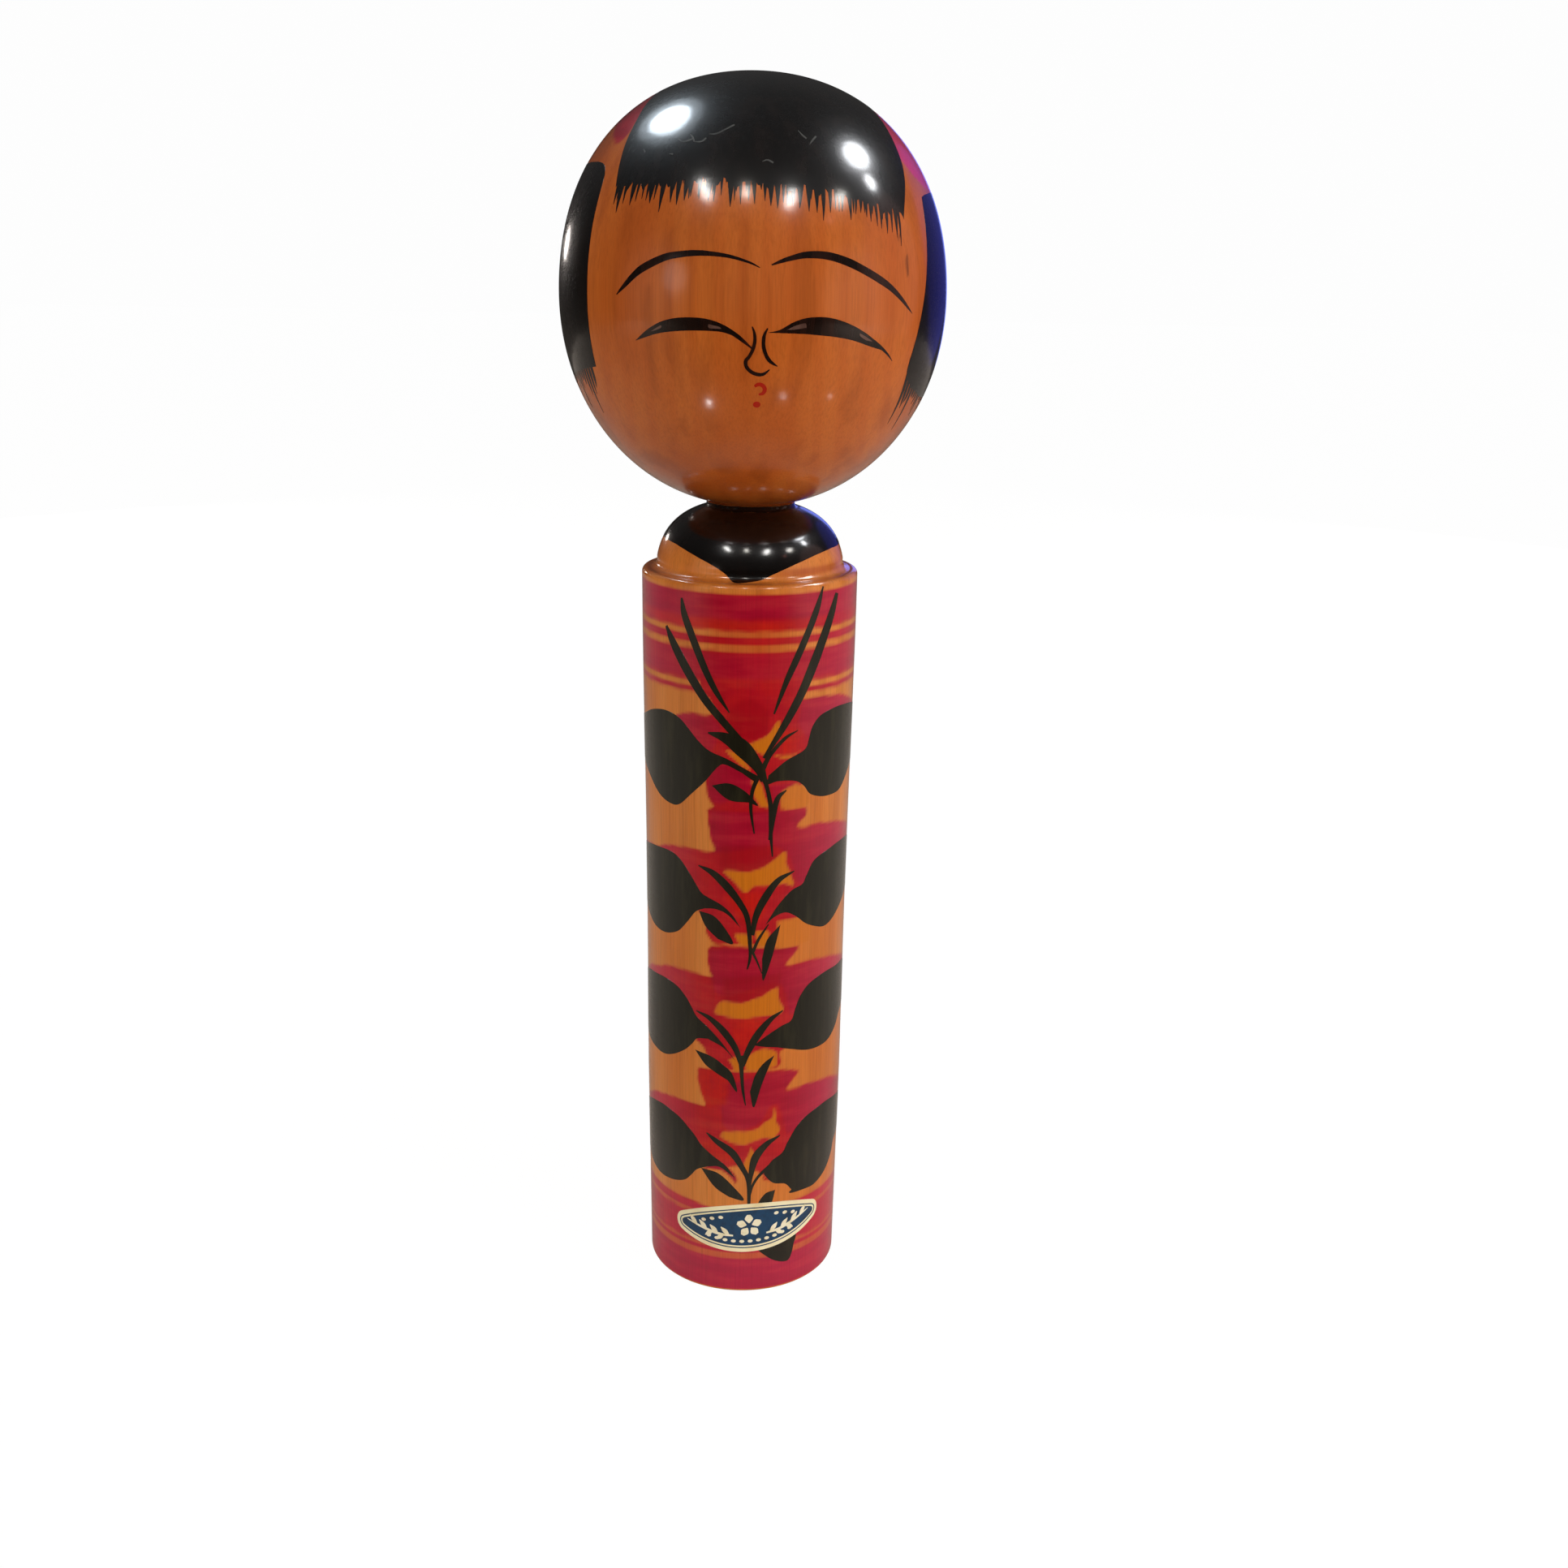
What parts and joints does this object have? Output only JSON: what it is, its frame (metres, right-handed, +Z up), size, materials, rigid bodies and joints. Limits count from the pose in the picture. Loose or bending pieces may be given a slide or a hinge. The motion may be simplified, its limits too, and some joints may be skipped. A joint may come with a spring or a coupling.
{
  "type": "kokeshi doll",
  "caption": "Turned wooden doll: cylindrical painted body with domed shoulder, egg-shaped painted head that snaps in and turns, pasted paper label.",
  "frame": {"origin": "centre of the circle that the body stands on", "axes": "+Z up the doll's axis; the face looks along -Y, so +X is the viewer's right"},
  "size_m": [0.0908, 0.0908, 0.3038],
  "materials": {
    "body_wood": "waxed gloss over red, yellow and black dye",
    "head_wood": "waxed gloss, aged, with black painted hair and face lines",
    "label_paper": "printed and varnished thin paper"
  },
  "bodies": {
    "body": {"body": "body_wood", "award_label": "label_paper"},
    "head": {"head": "head_wood"}
  },
  "joints": [
    {"name": "head_turn", "type": "hinge", "parent": "body", "child": "head", "pos_m": [0, 0, 0.2], "axis": [0, 0, 1], "continuous": true}
  ]
}
